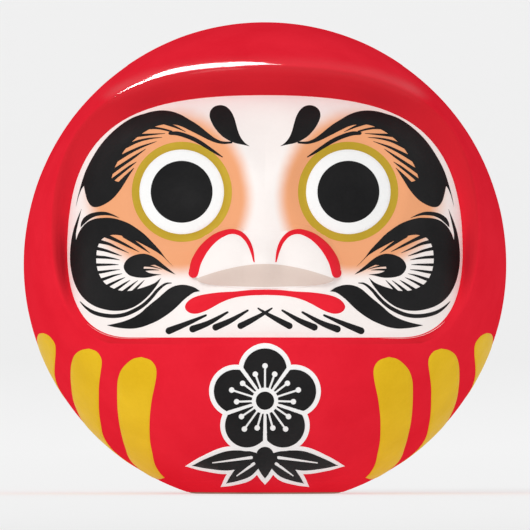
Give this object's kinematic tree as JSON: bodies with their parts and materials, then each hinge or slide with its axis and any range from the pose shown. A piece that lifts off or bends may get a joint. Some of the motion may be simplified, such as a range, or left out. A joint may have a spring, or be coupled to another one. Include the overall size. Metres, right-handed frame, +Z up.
{
  "type": "daruma doll",
  "caption": "Round hollow papier-mache roly-poly doll with a painted face in a hood, a flat foot and a clay weight inside that rights it.",
  "frame": {"origin": "centre of the flat foot, on the surface that the doll stands on", "axes": "+Z up, the face looks towards -Y, +X to the right of someone who looks at the face"},
  "size_m": [0.16, 0.159, 0.1563],
  "materials": {
    "red_lacquer": "satin",
    "face_white": "matte",
    "skin_peach": "matte",
    "ink_black": "satin",
    "gold_paint": "satin",
    "white_paint": "matte",
    "clay": "matte"
  },
  "bodies": {
    "root": {"front_shell": "red_lacquer", "back_shell": "red_lacquer", "seam_strip_left": "red_lacquer", "seam_strip_right": "red_lacquer", "seam_strip_crown": "red_lacquer", "nose": "face_white", "clay_weight": "clay", "base_strip": "red_lacquer"}
  },
  "joints": []
}
